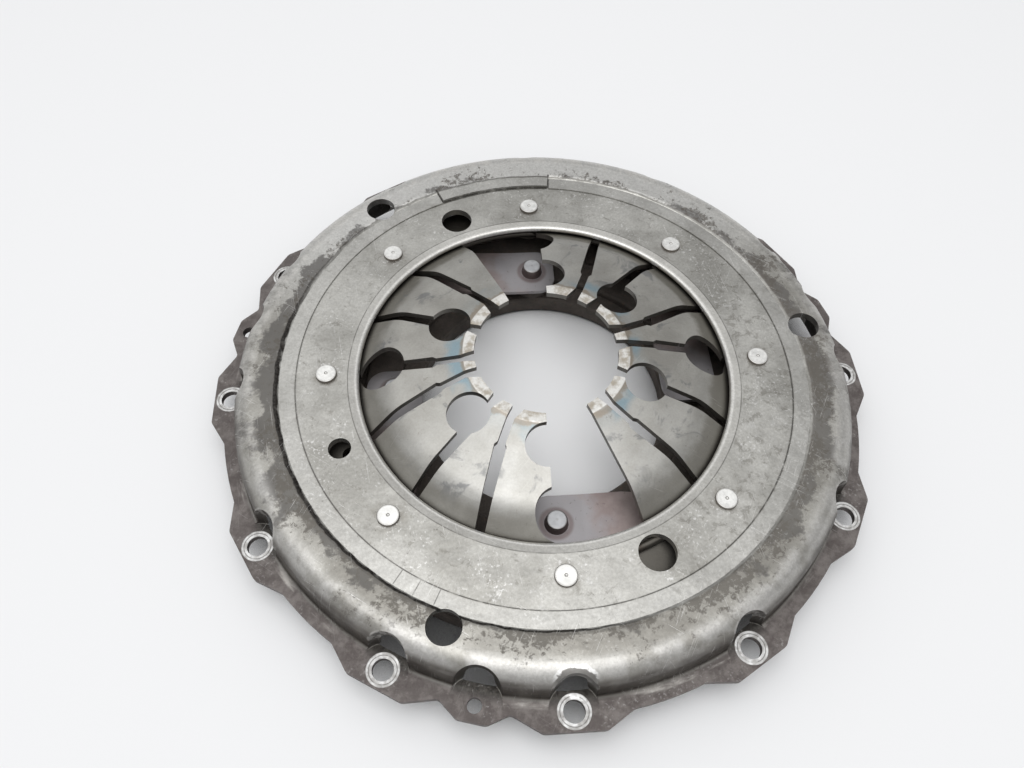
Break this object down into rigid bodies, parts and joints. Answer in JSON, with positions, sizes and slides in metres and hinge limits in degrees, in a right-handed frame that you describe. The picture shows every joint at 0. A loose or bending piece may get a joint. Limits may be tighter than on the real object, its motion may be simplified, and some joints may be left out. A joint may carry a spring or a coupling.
{
  "type": "clutch pressure plate",
  "caption": "Diaphragm-spring clutch pressure plate: pressed steel cover with a lugged bolting flange, slotted domed spring, riveted leaf straps and a cast pressure ring.",
  "frame": {"origin": "on the clutch axis, at the face of the cover flange that bolts to the flywheel", "axes": "+Z along the clutch axis towards the gearbox, +X through the gap between straps at a cover rivet; clock angle 0 lies on -Y"},
  "size_m": [0.3098, 0.3098, 0.0489],
  "materials": {
    "cover_steel": "satin, worn and stained bare steel",
    "spring_steel": "satin, oil-darkened hardened steel",
    "wire_steel": "satin",
    "rivet_steel": "satin",
    "strap_steel": "satin, brown heat tint",
    "cast_plate": "rough casting, ground friction face"
  },
  "bodies": {
    "cover_body": {"cover": "cover_steel", "diaphragm_spring": "spring_steel", "upper_fulcrum_wire": "wire_steel", "lower_fulcrum_wire": "wire_steel", "cover_rivet_1": "rivet_steel", "cover_rivet_2": "rivet_steel", "cover_rivet_3": "rivet_steel", "cover_rivet_4": "rivet_steel", "cover_rivet_5": "rivet_steel", "cover_rivet_6": "rivet_steel", "cover_rivet_7": "rivet_steel", "cover_rivet_8": "rivet_steel", "strap_1_leaf_1": "strap_steel", "strap_1_leaf_2": "strap_steel", "strap_2_leaf_1": "strap_steel", "strap_2_leaf_2": "strap_steel", "strap_3_leaf_1": "strap_steel", "strap_3_leaf_2": "strap_steel", "strap_4_leaf_1": "strap_steel", "strap_4_leaf_2": "strap_steel"},
    "plate_body": {"pressure_plate": "cast_plate", "plate_rivet_1": "rivet_steel", "plate_rivet_2": "rivet_steel", "plate_rivet_3": "rivet_steel", "plate_rivet_4": "rivet_steel"}
  },
  "joints": [
    {"name": "plate_lift", "type": "slide", "parent": "cover_body", "child": "plate_body", "axis": [0, 0, 1], "range_m": [0, 0.0047], "stiffness_N_per_m": 200000, "springref_m": -0.0005, "deforming": ["diaphragm_spring", "strap_1_leaf_1", "strap_1_leaf_2", "strap_2_leaf_1", "strap_2_leaf_2", "strap_3_leaf_1", "strap_3_leaf_2", "strap_4_leaf_1", "strap_4_leaf_2"]}
  ]
}
